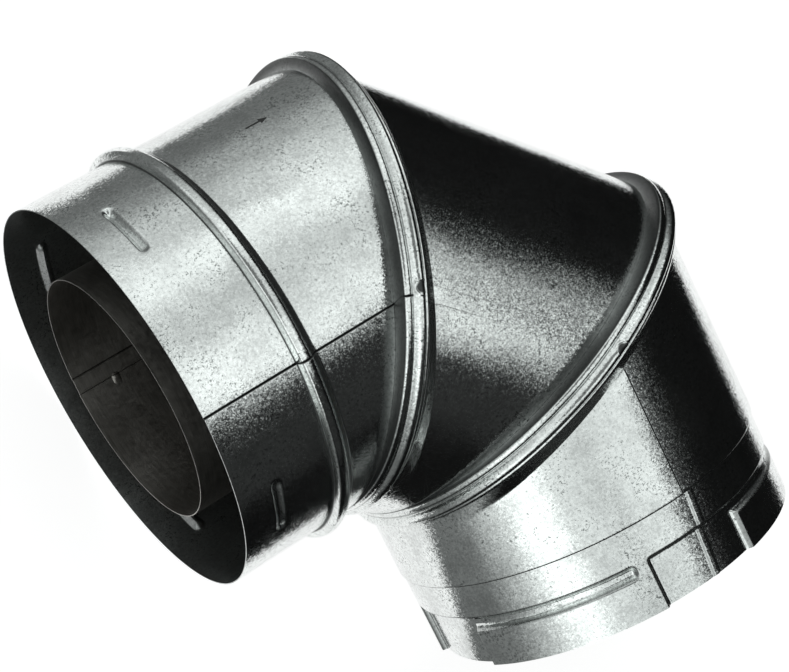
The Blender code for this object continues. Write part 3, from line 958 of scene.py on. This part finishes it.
def floor_material():
    """Plain pale board, a little brighter than its light makes it and with a soft shadow."""
    material = bpy.data.materials.new("pale_floor")
    material.use_nodes = True
    n = Nodes(material.node_tree)
    material.node_tree.nodes.clear()
    plain = n.add("ShaderNodeBsdfDiffuse")
    plain.inputs["Color"].default_value = BOARD_TONE
    glow = n.add("ShaderNodeEmission")
    glow.inputs["Color"].default_value = BOARD_TONE
    glow.inputs["Strength"].default_value = BOARD_GLOW
    path = n.add("ShaderNodeLightPath")
    seen = n.math("ADD", path.outputs["Is Camera Ray"], path.outputs["Is Glossy Ray"])
    seen = n.math("ADD", seen, path.outputs["Is Transmission Ray"], clamp=True)
    share = n.math("MULTIPLY", seen, GLOW_SHARE)
    mix = n.add("ShaderNodeMixShader")
    n.link(share, mix.inputs[0])
    n.link(plain.outputs[0], mix.inputs[1])
    n.link(glow.outputs[0], mix.inputs[2])
    out = n.add("ShaderNodeOutputMaterial")
    n.link(mix.outputs[0], out.inputs["Surface"])
    return material


def floor():
    mesh = bpy.data.meshes.new("floor")
    corners = [(-BOARD_LEFT, -BOARD_HALF, 0), (BOARD_RIGHT, -BOARD_HALF, 0),
               (BOARD_RIGHT, BOARD_HALF, 0), (-BOARD_LEFT, BOARD_HALF, 0)]
    mesh.from_pydata(corners, [], [(0, 1, 2, 3)])
    mesh.materials.append(floor_material())
    piece = bpy.data.objects.new("floor", mesh)
    piece.location = BOARD_AT
    piece.rotation_euler = (0, 0, BOARD_TURN)
    bpy.context.collection.objects.link(piece)


# Tent of light: the azimuth of its open side, and half of that side's width in degrees
TENT_OPEN = -45
TENT_HALF = 86
TENT_BLEND = 16
TENT_LIGHT = 0.97
TENT_TONE = (0.96, 1.0, 0.99, 1)
# Elevation where the light begins, its soft edge and the light under it: closed side, open side
EDGE_AT = (2.0, 54.0)
EDGE_SOFT = (26.0, 9.0)
LOW_LIGHT = (0.17, 0.006)
# Azimuth, elevation, inner and outer radius in degrees, and the factor on the light there
TENT_SPOTS = ((133, 63, 19, 30, 0.04), (52, 63, 6, 17, 0.66), (-158, 24, 3, 18, 1.45),
              (-43, 70, 4, 18, 1.15), (125, 22, 15, 40, 0.8), (-43, 49, 5, 18, 0.08),
              (66, 4, 16, 34, 0.62), (-8, 55, 4, 20, 0.60), (-138, 50, 8, 22, 0.76))
# A faint light on the open side: the same four numbers, and its strength
WALL_GLOW = (-86, 29, 14, 34, 0.022)


def direction(azimuth, height):
    a, h = math.radians(azimuth), math.radians(height)
    return (math.cos(a) * math.cos(h), math.sin(a) * math.cos(h), math.sin(h))


def round_spot(n, ray, spot, outside):
    """A value that goes smoothly from outside a spot to the spot's own, its last number."""
    azimuth, elevation, inner, outer, value = spot
    near = n.dot(ray, direction(azimuth, elevation))
    return n.smooth(near, math.cos(math.radians(outer)), math.cos(math.radians(inner)),
                    outside, value)


def studio():
    """A soft tent of light, open towards +X and -Y and dark near the photographer."""
    world = bpy.data.worlds.new("studio")
    world.use_nodes = True
    n = Nodes(world.node_tree)
    ray = n.add("ShaderNodeTexCoord").outputs["Generated"]
    axes = n.add("ShaderNodeSeparateXYZ")
    n.link(ray, axes.inputs[0])
    height = n.math("DEGREES", n.math("ARCSINE", axes.outputs[2]))
    level = n.vector("NORMALIZE", n.vector("MULTIPLY", ray, (1, 1, 0)))
    away = n.math("DEGREES", n.math("ARCCOSINE", n.dot(level, direction(TENT_OPEN, 0))))
    open_side = n.smooth(away, TENT_HALF - TENT_BLEND, TENT_HALF + TENT_BLEND, 1.0, 0.0)
    edge = n.remap(open_side, 0.0, 1.0, *EDGE_AT)
    width = n.remap(open_side, 0.0, 1.0, *EDGE_SOFT)
    above = n.math("DIVIDE", n.math("SUBTRACT", height, edge), width)
    light = n.smooth(above, -1.0, 1.0, 0.0, TENT_LIGHT)
    for spot in TENT_SPOTS:
        light = n.math("MULTIPLY", light, round_spot(n, ray, spot, 1.0))
    light = n.math("ADD", light, n.remap(open_side, 0.0, 1.0, *LOW_LIGHT))
    light = n.math("ADD", light, round_spot(n, ray, WALL_GLOW, 0.0))
    shade = world.node_tree.nodes["Background"]
    shade.inputs["Color"].default_value = TENT_TONE
    n.link(light, shade.inputs["Strength"])
    bpy.context.scene.world = world


# Camera's place from the first joint and its directions, along MIDDLE, OUTWARD and UP
CAMERA_AT = (-0.39079, -0.15043, 0.93884)
CAMERA_LOOK = (0.4200, 0.1320, -0.8979)
CAMERA_RIGHT = (0.8637, 0.2454, 0.4401)
CAMERA_LENS = 94.53


def camera():
    """Camera fitted to the photograph."""
    basis = np.stack([MIDDLE, OUTWARD, UP], 1)
    at = J1 + basis @ np.array(CAMERA_AT)
    look = unit(basis @ np.array(CAMERA_LOOK))
    right = basis @ np.array(CAMERA_RIGHT)
    right = unit(right - look * (right @ look))
    up = np.cross(right, look)
    data = bpy.data.cameras.new("camera")
    data.sensor_width = 36
    data.lens = CAMERA_LENS
    data.clip_start, data.clip_end = 0.05, 30
    piece = bpy.data.objects.new("camera", data)
    turn = Matrix([[right[i], up[i], -look[i]] for i in range(3)])
    piece.matrix_world = Matrix.Translation(Vector(at)) @ turn.to_4x4()
    bpy.context.collection.objects.link(piece)
    bpy.context.scene.camera = piece


floor()
studio()
camera()
bpy.context.scene.view_settings.view_transform = "Standard"
